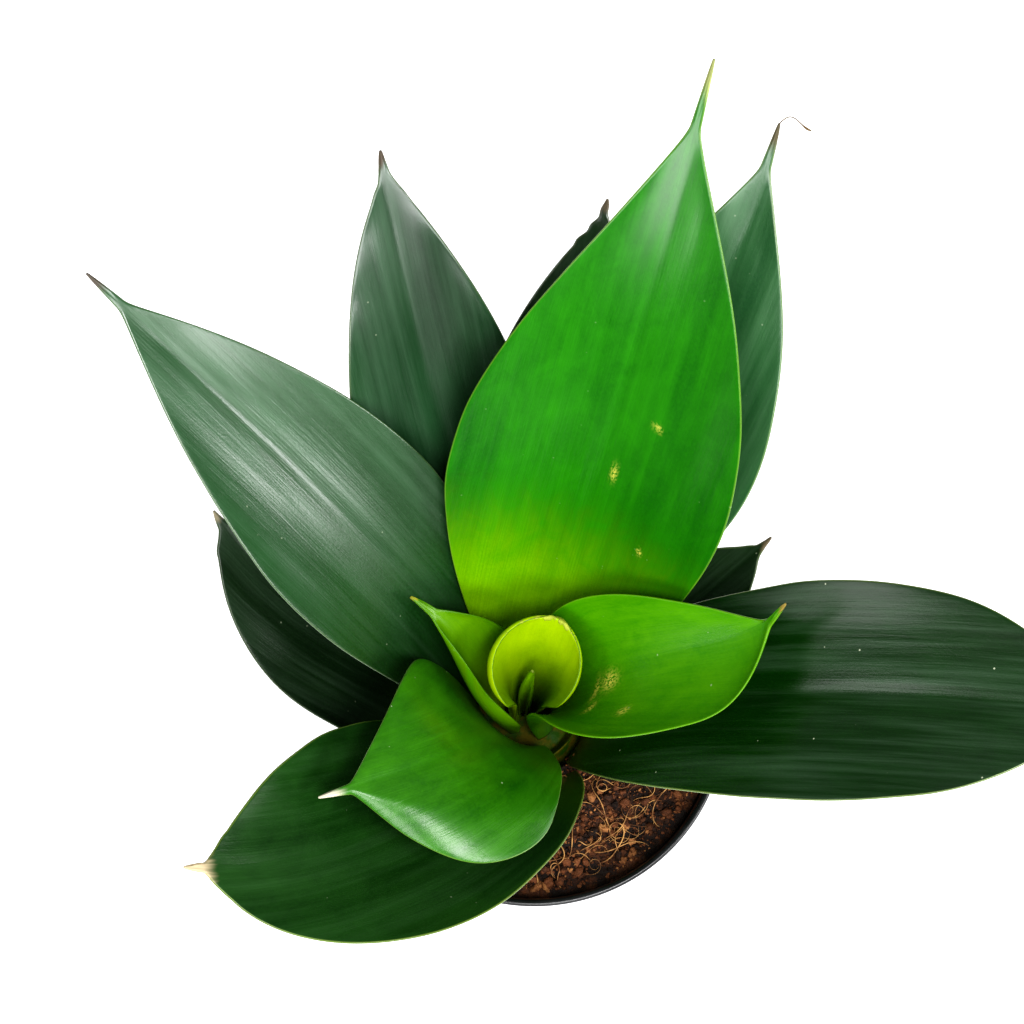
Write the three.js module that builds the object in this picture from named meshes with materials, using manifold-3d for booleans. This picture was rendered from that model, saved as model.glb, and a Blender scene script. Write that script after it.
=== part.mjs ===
// Potted snake plant with broad pointed leaves in a thin plastic nursery pot.
// Millimetres, Z up, origin at the middle of the pot base.
import * as THREE from 'three';
import { mergeVertices } from 'three/addons/utils/BufferGeometryUtils.js';
import Module from 'manifold-3d';

const wasm = await Module();
wasm.setup();

// Pot
const POT_HEIGHT = 105;
const RIM_RADIUS = 60;
const BASE_RADIUS = 43;
const POT_WALL = 1.2;
const BASE_THICK = 1.8;
const DRAIN_HOLES = 8;
const DRAIN_RADIUS = 4;
const DRAIN_RING = 31;

// Soil and crown
const SOIL_TOP = 97;
const SOIL_GAP = 0.35;
const HOLE_FLOOR = 81;
const CROWN_BOTTOM = 81.35;
const CROWN_TOP = 88.4;
const CROWN_LUMP = 8;

// Plant axis and height of the leaf feet
const AXIS_X = -3;
const AXIS_Y = 3;
const FOOT_Z = 89;

// Leaf blades
const BLADE_THICK = 2.2;
const EDGE_THICK = 0.8;
const LEAST_THICK = 0.6;
const RAD = Math.PI / 180;
const NONE = [0, 0, 0, 0];

// Radius of the planting hole about the plant axis, one value each 15 degrees from +X
const HOLE = [
  34.5, 34.5, 34.5, 34.5, 33, 32, 32, 32, 32, 32, 32, 32,
  32, 32, 32, 27, 25, 25.4, 26.2, 26.8, 27.2, 27.2, 25.6, 27,
];

// Each leaf: ring is its foot's radius about the plant axis. The lists are spline controls from
// foot to tip: heading and rise of the midrib in degrees, half-width in mm after the foot's own,
// cup is the half angle the blade wraps through, skew moves width from one side to the other
// and lop moves the wrap; level lays the section flat about an upright axis, roll turns it.
const LEAVES = {
  leaf_a: {
    ring: 12, length: 241, mucro: 18,
    heading: [68, 67, 69, 73, 73], rise: [77, 65, 60, 40, 38],
    half: [18, 33, 48, 30, 9, 0], cup: [64, 38, 24, 22, 25],
    skew: [0, 0.08, 0, -0.05, 0],
    color: 0x3f9a16, steps: [28, 8],
  },
  leaf_b: {
    ring: 23.2, length: 219, mucro: 12,
    heading: [54, 61, 61, 72], rise: [80, 62, 56, 46, 44],
    half: [14, 20, 38, 27, 9, 0], cup: [32, 34, 28, 24, 25],
    skew: [0.15, 0.3, 0, 0, 0],
    color: 0x4f7362, steps: [26, 8],
  },
  leaf_c: {
    ring: 25.8, length: 190, mucro: 6,
    heading: [110, 110, 108, 101], rise: [80, 60, 50, 46, 44],
    half: [21, 27, 30, 23, 10, 0], cup: [42, 38, 30, 24, 25],
    skew: [0, 0, 0, 0, 0],
    color: 0x33514a, steps: [26, 8],
  },
  leaf_d: {
    ring: 16.4, length: 208, mucro: 12,
    heading: [142, 142, 142, 142], rise: [82, 60, 42, 32, 28],
    half: [18, 24, 34, 23, 9, 0], cup: [56, 40, 26, 22, 22],
    skew: [0, 0.05, 0.05, 0.05, 0],
    color: 0x466f5f, steps: [26, 8],
  },
  leaf_e: {
    ring: 28.4, length: 110, mucro: 5,
    heading: [166, 160, 152, 124], rise: [80, 46, 40, 36, 34],
    half: [23, 28, 29, 22, 10, 0], cup: [40, 34, 26, 20, 20],
    skew: [0, 0, 0, 0, 0],
    color: 0x17301f, steps: [20, 8],
  },
  leaf_f: {
    ring: 28.4, length: 160, mucro: 5,
    heading: [80, 82, 82, 74], rise: [80, 56, 46, 40, 40],
    half: [18, 24, 30, 22, 9, 0], cup: [28, 28, 24, 20, 20],
    skew: [0, 0, 0, 0, 0],
    color: 0x1f3a2a, steps: [20, 8],
  },
  leaf_g: {
    ring: 21.4, length: 158, mucro: 6,
    heading: [238, 230, 207, 182], rise: [80, 61, 46, 38, 38],
    half: [29, 31, 37.5, 32, 18, 0], cup: [66, 56, 30, 22, 15],
    skew: [0.1, 0.34, 0.02, 0, 0],
    color: 0x1c4022, steps: [26, 10],
  },
  leaf_h: {
    ring: 12.4, length: 127, mucro: 9,
    heading: [246, 234, 203, 198], rise: [90, 82, 67, 32, 2],
    half: [12, 18, 35, 30, 12, 0], cup: [50, 46, 0, -10, 15],
    skew: [0, -0.28, 0.08, 0.2, 0.2],
    color: 0x3a7d1e, steps: [26, 8],
  },
  leaf_i: {
    ring: 20.2, length: 210, mucro: 12,
    heading: [-8, -8, -9, -12], rise: [84, 60, 36, 24, 18],
    half: [19, 26, 33, 33, 22, 0], cup: [42, 28, 20, 18, 18],
    skew: [0, -0.08, 0, 0, 0],
    color: 0x1d4424, steps: [26, 8],
  },
  leaf_j: {
    ring: 9.4, length: 127, mucro: 5,
    heading: [12, 2, -8, 18], rise: [90, 82, 54, 28, 50],
    half: [13, 16, 23, 31.5, 21.5, 15, 0], cup: [75, 96, 118, 60, 42, 46],
    skew: [0, 0, -0.1, -0.08, -0.52, -0.9], lop: [0, 0.08, 0.28, 0.1, 0, 0],
    level: [1, 1, 1, 0.3, 0], roll: [0, 3, 11, -2],
    color: 0x5aa512, steps: [24, 10],
  },
  leaf_k: {
    ring: 7.4, length: 79, mucro: 8,
    heading: [160, 136, 134, 152], rise: [90, 80, 70, 48, 24],
    half: [11, 14, 19, 16, 6, 0], cup: [80, 95, 118, 80, 40],
    skew: [0, 0.3, 0.25, -0.2, -0.3], lop: [0, -0.4, -0.35, -0.2, 0],
    level: [1, 1, 1, 0.4, 0],
    color: 0x9db31c, steps: [20, 8],
  },
  leaf_l: {
    ring: 4, length: 68, mucro: 0.4,
    heading: [50, 54, 58, 60], rise: [90, 80, 77, 74, 68],
    half: [11, 12, 13.5, 16.5, 20, 25.5, 33, 36, 0],
    cup: [152, 152, 152, 152, 152, 152, 150, 148, 146, 0],
    skew: [0.2, 0.2, 0.2, 0.2], lop: [-0.2, -0.2, -0.2, -0.2], level: [1, 1, 1, 1], point: 2.4,
    color: 0xb5bf1e, steps: [22, 14],
  },
  leaf_m: {
    ring: 1.4, length: 47, mucro: 4,
    heading: [60, 60, 60, 60], rise: [90, 88, 84, 82],
    half: [3.6, 4, 3, 0], cup: [150, 140, 130, 60],
    skew: [0, 0, 0, 0, 0], thick: 1.2,
    color: 0x86a51c, steps: [10, 6],
  },
  leaf_n: {
    ring: 31, length: 81, mucro: 5,
    heading: [26, 30, 32, 38], rise: [80, 52, 40, 36, 36],
    half: [14, 16, 18, 14, 6, 0], cup: [24, 26, 26, 20, 20],
    skew: [0, 0, 0, 0, 0],
    color: 0x14291b, steps: [16, 6],
  },
};

// Value at share s of a clamped cubic B-spline through its control list
function spline(controls, s) {
  const n = controls.length;
  const t = Math.min(Math.max(s, 0), 1 - 1e-9);
  const knots = [0, 0, 0];
  for (let i = 0; i < n - 2; i += 1) knots.push(i / (n - 3));
  knots.push(1, 1, 1);
  let basis = [];
  for (let i = 0; i < n + 3; i += 1) basis.push(t >= knots[i] && t < knots[i + 1] ? 1 : 0);
  for (let d = 1; d <= 3; d += 1) {
    const next = [];
    for (let i = 0; i < n + 3 - d; i += 1) {
      const a = knots[i + d] - knots[i];
      const b = knots[i + d + 1] - knots[i + 1];
      const left = a > 0 ? ((t - knots[i]) / a) * basis[i] : 0;
      const right = b > 0 ? ((knots[i + d + 1] - t) / b) * basis[i + 1] : 0;
      next.push(left + right);
    }
    basis = next;
  }
  return controls.reduce((sum, c, i) => sum + c * basis[i], 0);
}

function direction(heading, rise) {
  const flat = Math.cos(rise);
  return new THREE.Vector3(flat * Math.cos(heading), flat * Math.sin(heading), Math.sin(rise));
}

// Midrib points at fine equal steps from the foot
function midrib(leaf) {
  const fine = 400;
  const first = leaf.heading[0] * RAD;
  const at = new THREE.Vector3(
    AXIS_X + leaf.ring * Math.cos(first),
    AXIS_Y + leaf.ring * Math.sin(first),
    FOOT_Z,
  );
  const points = [at.clone()];
  let before = direction(first, leaf.rise[0] * RAD);
  for (let i = 1; i <= fine; i += 1) {
    const s = i / fine;
    const now = direction(spline(leaf.heading, s) * RAD, spline(leaf.rise, s) * RAD);
    at.addScaledVector(before.clone().add(now), (0.5 * leaf.length) / fine);
    points.push(at.clone());
    before = now;
  }
  return points;
}

function onMidrib(points, s) {
  const x = s * (points.length - 1);
  const i = Math.min(Math.floor(x), points.length - 2);
  return points[i].clone().lerp(points[i + 1], x - i);
}

// Half-width at share s: the blade, plus the thin point beyond it
function halfWidth(leaf, s) {
  const m = leaf.mucro / leaf.length;
  const foot = leaf.ring * leaf.cup[0] * RAD;
  const blade = s > 1 - m ? 0 : spline([foot, ...leaf.half], s / (1 - m));
  const thin = 1.2 * Math.min(Math.max((1 - s) / m, 0), 1) ** 0.8 + (leaf.point || 0.3);
  return Math.hypot(blade, thin * Math.min(s * 3, 1));
}

// Offsets across and up for each v from -1 to 1, by summing the turning section
function section(width, cup, skew, lop, across) {
  const steps = 48;
  const out = [];
  for (let j = 0; j <= across; j += 1) {
    const v = -1 + (2 * j) / across;
    const side = width * (v > 0 ? 1 + skew : 1 - skew);
    const turn = cup * (v > 0 ? 1 - lop : 1 + lop);
    let x = 0;
    let y = 0;
    for (let k = 0; k < steps; k += 1) {
      const a = turn * v * ((k + 0.5) / steps);
      x += (Math.cos(a) * side * v) / steps;
      y += (Math.sin(a) * side * v) / steps;
    }
    out.push([x, y, v]);
  }
  return out;
}

// Middle surface of a leaf as rows of points from foot to tip
function leafRows(leaf) {
  const [along, across] = leaf.steps;
  const points = midrib(leaf);
  const rows = [];
  for (let i = 0; i <= along; i += 1) {
    const s = 1 - (1 - i / along) ** 1.25;
    const heading = spline(leaf.heading, s) * RAD;
    const t = direction(heading, spline(leaf.rise, s) * RAD);
    const flat = new THREE.Vector3(-Math.sin(heading), Math.cos(heading), 0);
    const up = t.clone().cross(flat);
    const level = spline(leaf.level || NONE, s);
    const inward = new THREE.Vector3(-Math.cos(heading), -Math.sin(heading), 0);
    up.multiplyScalar(1 - level).addScaledVector(inward, level).normalize();
    const roll = spline(leaf.roll || NONE, s) * RAD;
    const side = flat.clone().multiplyScalar(Math.cos(roll)).addScaledVector(up, Math.sin(roll));
    up.multiplyScalar(Math.cos(roll)).addScaledVector(flat, -Math.sin(roll));
    const middle = onMidrib(points, s);
    const width = halfWidth(leaf, s);
    const cup = spline(leaf.cup, s) * RAD;
    const lop = spline(leaf.lop || NONE, s);
    const cross = section(width, cup, spline(leaf.skew, s), lop, across);
    rows.push(cross.map(([x, y, v]) => ({
      p: middle.clone().addScaledVector(side, x).addScaledVector(up, y),
      v,
      s,
      width,
    })));
  }
  return rows;
}

// Closed solid: both faces of the blade are split into the same triangles
function leafGeometry(leaf) {
  const rows = leafRows(leaf);
  const n = rows.length;
  const m = rows[0].length;
  const thick = leaf.thick || BLADE_THICK;
  const top = [];
  const bottom = [];
  for (let i = 0; i < n; i += 1) {
    for (let j = 0; j < m; j += 1) {
      const here = rows[i][j];
      const du = rows[Math.min(i + 1, n - 1)][j].p.clone().sub(rows[Math.max(i - 1, 0)][j].p);
      const dv = rows[i][Math.min(j + 1, m - 1)].p.clone().sub(rows[i][Math.max(j - 1, 0)].p);
      const normal = du.cross(dv).normalize();
      const full = thick * (1.1 - 0.4 * here.s) - EDGE_THICK;
      const swell = EDGE_THICK + full * (1 - Math.abs(here.v) ** 2.4);
      const t = Math.max(Math.min(swell, 0.3 + 0.9 * here.width), LEAST_THICK);
      top.push(here.p.clone().addScaledVector(normal, t / 2));
      bottom.push(here.p.clone().addScaledVector(normal, -t / 2));
    }
  }
  const o = n * m;
  const faces = [];
  const wall = (a, b, flip) => {
    if (flip) faces.push(b + o, a + o, a, b, b + o, a);
    else faces.push(a, a + o, b + o, a, b + o, b);
  };
  for (let i = 0; i + 1 < n; i += 1) {
    for (let j = 0; j + 1 < m; j += 1) {
      const a = i * m + j;
      const b = a + m;
      faces.push(a, b, b + 1, a, b + 1, a + 1);
      faces.push(a + o, b + 1 + o, b + o, a + o, a + 1 + o, b + 1 + o);
    }
    wall(i * m, (i + 1) * m, false);
    wall(i * m + m - 1, (i + 1) * m + m - 1, true);
  }
  for (let j = 0; j + 1 < m; j += 1) {
    wall(j, j + 1, true);
    wall((n - 1) * m + j, (n - 1) * m + j + 1, false);
  }
  return indexed([...top, ...bottom], faces);
}

function indexed(points, faces) {
  const geometry = new THREE.BufferGeometry();
  const flat = points.flatMap((p) => [p.x, p.y, p.z]);
  geometry.setAttribute('position', new THREE.Float32BufferAttribute(flat, 3));
  geometry.setIndex(faces);
  return geometry;
}

function named(name, geometry, color, roughness) {
  geometry.computeVertexNormals();
  const material = new THREE.MeshStandardMaterial({ color, roughness });
  const mesh = new THREE.Mesh(geometry, material);
  mesh.name = name;
  return mesh;
}

function toManifold(source) {
  const bare = source.clone();
  bare.deleteAttribute('normal');
  bare.deleteAttribute('uv');
  const merged = mergeVertices(bare, 1e-5);
  return new wasm.Manifold(new wasm.Mesh({
    numProp: 3,
    vertProperties: new Float32Array(merged.attributes.position.array),
    triVerts: new Uint32Array(merged.index.array),
  }));
}

function fromManifold(solid) {
  const mesh = solid.getMesh();
  const geometry = new THREE.BufferGeometry();
  const flat = new Float32Array(mesh.vertProperties);
  geometry.setAttribute('position', new THREE.BufferAttribute(flat, 3));
  geometry.setIndex([...mesh.triVerts]);
  return geometry;
}

// Inner wall radius of the pot at height z
function potInside(z) {
  return BASE_RADIUS - POT_WALL + ((56.4 - BASE_RADIUS) * z) / 92;
}

function potProfile() {
  return [
    [0, 0], [BASE_RADIUS - 1.5, 0], [BASE_RADIUS - 0.4, 0.5], [BASE_RADIUS, 1.6],
    [49.7, 47], [56.4, 92], [57.9, 92.4], [58.5, 102.4], [59.6, 103],
    [RIM_RADIUS, 104], [59.7, POT_HEIGHT - 0.2], [58.9, POT_HEIGHT],
    [57.9, POT_HEIGHT - 0.4], [57.3, 103.4], [56.8, 94],
    [potInside(90), 90], [potInside(47), 47], [potInside(3.4), 3.4],
    [potInside(3.4) - 1.4, BASE_THICK], [0, BASE_THICK],
  ];
}

function lathed(profile, turns) {
  const points = profile.map(([r, z]) => new THREE.Vector2(r, z));
  return new THREE.LatheGeometry(points, turns).rotateX(Math.PI / 2);
}

function drainHole(k) {
  const angle = ((k + 0.5) / DRAIN_HOLES) * 2 * Math.PI;
  const hole = new THREE.CylinderGeometry(DRAIN_RADIUS, DRAIN_RADIUS, 8, 20);
  hole.rotateX(Math.PI / 2);
  return hole.translate(DRAIN_RING * Math.cos(angle), DRAIN_RING * Math.sin(angle), 0);
}

function potGeometry() {
  let body = toManifold(lathed(potProfile(), 72));
  for (let k = 0; k < DRAIN_HOLES; k += 1) body = body.subtract(toManifold(drainHole(k)));
  return fromManifold(body);
}

function holeRadius(angle) {
  const x = ((angle / RAD / 15) % 24 + 24) % 24;
  const i = Math.floor(x);
  const w = (1 - Math.cos((x - i) * Math.PI)) / 2;
  return HOLE[i % 24] * (1 - w) + HOLE[(i + 1) % 24] * w;
}

function lump(x, y) {
  return 0.5 * Math.sin(x * 0.31 + 1.3 * Math.sin(y * 0.17)) + 0.4 * Math.sin(y * 0.37 + x * 0.11);
}

// Body made of rings of points between a first and a last middle point
function ringed(rings, first, last) {
  const turns = rings[0].length;
  const points = [first, ...rings.flat(), last];
  const faces = [];
  for (let k = 0; k < turns; k += 1) {
    const next = (k + 1) % turns;
    faces.push(0, 1 + next, 1 + k);
    for (let i = 0; i + 1 < rings.length; i += 1) {
      const a = 1 + i * turns;
      const b = a + turns;
      faces.push(a + k, a + next, b + next, a + k, b + next, b + k);
    }
    const end = 1 + (rings.length - 1) * turns;
    faces.push(end + k, end + next, points.length - 1);
  }
  return indexed(points, faces);
}

function potRing(radius, z, turns) {
  return Array.from({ length: turns }, (_, k) => {
    const a = (k / turns) * 2 * Math.PI;
    return new THREE.Vector3(radius * Math.cos(a), radius * Math.sin(a), z);
  });
}

function axisRing(radiusAt, zAt, turns) {
  return Array.from({ length: turns }, (_, k) => {
    const a = (k / turns) * 2 * Math.PI;
    const r = radiusAt(a);
    return new THREE.Vector3(AXIS_X + r * Math.cos(a), AXIS_Y + r * Math.sin(a), zAt(a));
  });
}

function soilGeometry() {
  const turns = 48;
  const low = BASE_THICK + SOIL_GAP;
  const heights = [3.6, 47, 90];
  const rings = [potRing(potInside(3.4) - 1.9, low, turns)];
  for (const z of heights) rings.push(potRing(potInside(z) - SOIL_GAP, z, turns));
  const outer = potRing(potInside(96) - 0.9, SOIL_TOP - 0.6, turns);
  rings.push(outer);
  const edge = axisRing((a) => holeRadius(a) + 1, () => SOIL_TOP, turns);
  for (const share of [0.25, 0.5, 0.75, 1]) {
    rings.push(outer.map((p, k) => {
      const q = p.clone().lerp(edge[k], share);
      q.z = SOIL_TOP + lump(q.x, q.y) * (share < 1 ? 1 : 0.3);
      return q;
    }));
  }
  rings.push(axisRing(holeRadius, () => SOIL_TOP - 1.4, turns));
  rings.push(axisRing(holeRadius, () => HOLE_FLOOR, turns));
  const bottom = new THREE.Vector3(0, 0, low);
  return ringed(rings, bottom, new THREE.Vector3(AXIS_X, AXIS_Y, HOLE_FLOOR));
}

// The crown fills the hole below the leaf feet and swells between the front leaves
function crownGeometry() {
  const turns = 36;
  const front = (a) => {
    const off = Math.atan2(Math.sin(a - 275 * RAD), Math.cos(a - 275 * RAD)) / RAD;
    return CROWN_LUMP * Math.max(0, 1 - (off / 75) ** 4);
  };
  const rings = [
    axisRing((a) => holeRadius(a) - 1.4, () => CROWN_BOTTOM, turns),
    axisRing((a) => holeRadius(a) - 0.6, () => CROWN_BOTTOM + 1, turns),
    axisRing((a) => holeRadius(a) - 0.6, () => CROWN_TOP - 1, turns),
    axisRing((a) => holeRadius(a) - 1.4, () => CROWN_TOP, turns),
    axisRing(() => 19, () => CROWN_TOP, turns),
    axisRing(() => 17, (a) => CROWN_TOP + front(a), turns),
    axisRing(() => 14.7, () => CROWN_TOP, turns),
  ];
  const bottom = new THREE.Vector3(AXIS_X, AXIS_Y, CROWN_BOTTOM);
  return ringed(rings, bottom, new THREE.Vector3(AXIS_X, AXIS_Y, CROWN_TOP));
}

function pot() {
  return named('pot', potGeometry(), 0x17191b, 0.45);
}

function soil() {
  return named('soil', soilGeometry(), 0x4a2616, 0.95);
}

function crown() {
  return named('crown', crownGeometry(), 0x4d4520, 0.7);
}

function leaf(name) {
  return named(name, leafGeometry(LEAVES[name]), LEAVES[name].color, 0.4);
}

const plant = new THREE.Group();
plant.name = 'potted_snake_plant';
plant.add(pot(), soil(), crown());
for (const name of Object.keys(LEAVES)) plant.add(leaf(name));

export default plant;
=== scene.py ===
"""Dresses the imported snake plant: waxy leaves, moist coir with crumbs and fibres, a black nursery pot."""
import math

import bmesh
import bpy
import numpy as np
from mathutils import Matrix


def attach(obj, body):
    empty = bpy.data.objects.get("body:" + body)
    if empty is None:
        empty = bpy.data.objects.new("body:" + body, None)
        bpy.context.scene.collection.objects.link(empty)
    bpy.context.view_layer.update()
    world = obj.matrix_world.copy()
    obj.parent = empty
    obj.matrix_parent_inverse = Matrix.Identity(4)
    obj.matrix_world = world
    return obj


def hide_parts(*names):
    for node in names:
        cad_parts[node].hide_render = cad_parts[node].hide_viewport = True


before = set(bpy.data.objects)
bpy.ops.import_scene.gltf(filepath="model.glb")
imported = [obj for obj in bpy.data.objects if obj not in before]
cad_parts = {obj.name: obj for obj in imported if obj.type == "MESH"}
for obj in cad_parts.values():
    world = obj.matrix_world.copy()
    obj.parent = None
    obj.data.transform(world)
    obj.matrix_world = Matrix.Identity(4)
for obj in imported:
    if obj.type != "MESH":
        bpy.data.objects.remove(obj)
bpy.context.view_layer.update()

MM = 0.001
DEGREE = math.pi / 180
PLANT_AXIS = (-3.0, 3.0)      # middle of the rosette, mm
FOOT_HEIGHT = 89.0            # where the leaves start, inside the soil, mm
SOIL_TOP = 97.0               # usual height of the soil, mm
SOIL_BASE = 4.4               # its hidden underside, mm
SOIL_REACH = 56.4             # its radius at the top, just inside the pot, mm
POT_BASE = 1.8                # thickness of the pot's base, mm
POT_FILLET = 1.6              # mm, where its wall meets its base inside
POT_FOOT_RADIUS = 41.8        # inside of the pot at its foot, mm
POT_FLARE = 13.4 / 92         # how much the inside widens for each mm of height
BLADE_THICK = 2.2             # middle of a leaf, mm
EDGE_THICK = 0.8              # margin of a leaf, mm
AWN_HALF = 1.2                # half-width of an awn at its root, mm
POINT_HALF = 0.3              # half-width of an awn at its point, mm
STRAIGHT = (0, 0, 0, 0)       # control values of a leaf that has no skew, lop, level or roll
LINE_STEPS = 400              # fine steps along a leaf's middle line
ARC_STEPS = 192               # fine steps across a leaf
LATTICE = 64                  # corners along one side of the lattice of random heights
NOISE_SHIFT = 300             # mm, keeps places on the soil away from the lattice's start
FIBRE_REACH = 54.5            # how far from the pot's axis fibres lie, mm
LEAF_APART = 37.0             # keeps the noise of one leaf apart from the next
UNDERSIDE_APART = 300         # mm, keeps the noise of a leaf's two sides apart

# Each leaf: foot ring radius, then control values from foot to tip. Lengths in mm, angles in degrees.
# half = half-width, cup = how far each side bends, skew = one side wider, lop = one side bent more,
# level = how far the section turns upright, ragged = (depth, from which share), wave = (mm, cycles, phase),
# droop = (mm, from, to) of one margin, hook = shift of the tip in mm, grid = rows and columns of the mesh.
LEAVES = {
    "a": dict(ring=12.0, heading=(68, 67, 69, 73, 73), rise=(77, 65, 60, 40, 38), length=241,
              half=(18, 33, 48, 30, 9, 0), cup=(64, 38, 24, 22, 25), awn=18, skew=(0, 0.08, 0, -0.05, 0),
              grid=(190, 56), wave=(0.5, 2.2, 0.4), channel=0.3),
    "b": dict(ring=23.2, heading=(54, 61, 61, 72), rise=(80, 62, 56, 46, 44), length=219,
              half=(14, 20, 38, 27, 9, 0), cup=(32, 34, 28, 24, 25), awn=12, skew=(0.15, 0.3, 0, 0, 0),
              grid=(170, 48), wave=(1.0, 3.4, 1.0), channel=0.5),
    "c": dict(ring=25.8, heading=(110, 110, 108, 101), rise=(80, 60, 50, 46, 44), length=190,
              half=(21, 27, 30, 23, 10, 0), cup=(42, 38, 30, 24, 25), awn=6,
              grid=(160, 48), wave=(1.2, 3.6, 2.2), channel=0.5, ragged=(0.20, 0.93)),
    "d": dict(ring=16.4, heading=(142, 142, 142, 142), rise=(82, 60, 42, 32, 28), length=208,
              half=(18, 24, 34, 23, 9, 0), cup=(56, 40, 26, 22, 22), awn=12, skew=(0, 0.05, 0.05, 0.05, 0),
              grid=(170, 50), wave=(0.5, 2.8, 0.9), channel=0.5),
    "e": dict(ring=28.4, heading=(166, 160, 152, 124), rise=(80, 46, 40, 36, 34), length=110,
              half=(23, 28, 29, 22, 10, 0), cup=(40, 34, 26, 20, 20), awn=5,
              grid=(110, 40), wave=(0.9, 2.4, 0.3), channel=0.6, ragged=(0.35, 0.90)),
    "f": dict(ring=28.4, heading=(80, 82, 82, 74), rise=(80, 56, 46, 40, 40), length=160,
              half=(18, 24, 30, 22, 9, 0), cup=(28, 28, 24, 20, 20), awn=5,
              grid=(130, 44), wave=(0.9, 3.0, 1.6), channel=0.5, ragged=(0.30, 0.92)),
    "g": dict(ring=21.4, heading=(238, 230, 207, 182), rise=(80, 61, 46, 38, 38), length=158,
              half=(29, 31, 37.5, 32, 18, 0), cup=(66, 56, 30, 22, 15), awn=6, skew=(0.1, 0.34, 0.02, 0, 0),
              grid=(150, 56), wave=(0.7, 2.4, 1.3), channel=0.5, ragged=(0.25, 0.93)),
    "h": dict(ring=12.4, heading=(246, 234, 203, 198), rise=(90, 82, 67, 32, 2), length=127,
              half=(12, 18, 35, 30, 12, 0), cup=(50, 46, 0, -10, 15), awn=9, skew=(0, -0.28, 0.08, 0.2, 0.2),
              grid=(140, 52), wave=(0.5, 2.0, 0.4), channel=0.3, droop=(4.6, 0.30, 0.97)),
    "i": dict(ring=20.2, heading=(-8, -8, -9, -12), rise=(84, 60, 36, 24, 18), length=210,
              half=(19, 26, 33, 33, 22, 0), cup=(42, 28, 20, 18, 18), awn=12, skew=(0, -0.08, 0, 0, 0),
              grid=(170, 50), wave=(0.7, 2.6, 2.0), channel=0.6),
    "j": dict(ring=9.4, heading=(12, 2, -8, 18), rise=(90, 82, 54, 28, 50), length=127,
              half=(13, 16, 23, 31.5, 21.5, 15, 0), cup=(75, 96, 118, 60, 42, 46), awn=5,
              skew=(0, 0, -0.1, -0.08, -0.52, -0.9), lop=(0, 0.08, 0.28, 0.1, 0, 0), level=(1, 1, 1, 0.3, 0),
              roll=(0, 3, 11, -2), edge=0.6, grid=(140, 60), wave=(0.3, 2.0, 0.2), channel=0.2,
              hook=(0.5, 2.0, 6.0), hook_from=0.93),
    "k": dict(ring=7.4, heading=(160, 136, 134, 152), rise=(90, 80, 70, 48, 24), length=79,
              half=(11, 14, 19, 16, 6, 0), cup=(80, 95, 118, 80, 40), awn=8, skew=(0, 0.3, 0.25, -0.2, -0.3),
              lop=(0, -0.4, -0.35, -0.2, 0), level=(1, 1, 1, 0.4, 0), edge=0.45,
              grid=(110, 48), wave=(2.0, 2.5, 0.2), channel=0.1),
    "l": dict(ring=4.0, heading=(50, 54, 58, 60), rise=(90, 80, 77, 74, 68), length=68,
              half=(11, 12, 13.5, 16.5, 20, 25.5, 33, 36, 0), awn=0.4,
              cup=(152, 152, 152, 152, 152, 152, 150, 148, 146, 0), skew=(0.2, 0.2, 0.2, 0.2),
              lop=(-0.2, -0.2, -0.2, -0.2), level=(1, 1, 1, 1), point=2.4, edge=0.4,
              grid=(110, 72), wave=(0.2, 2.0, 0.0), channel=0.0),
    "m": dict(ring=1.4, heading=(60, 60, 60, 60), rise=(90, 88, 84, 82), length=47,
              half=(3.6, 4, 3, 0), cup=(150, 140, 130, 60), awn=4, thick=1.2,
              grid=(60, 24), wave=(0, 1, 0), channel=0.0),
    "n": dict(ring=31, heading=(26, 30, 32, 38), rise=(80, 52, 40, 36, 36), length=81,
              half=(14, 16, 18, 14, 6, 0), cup=(24, 26, 26, 20, 20), awn=5,
              grid=(90, 32), wave=(0.5, 2.0, 1.0), channel=0.4, ragged=(0.30, 0.90)),
}

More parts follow.
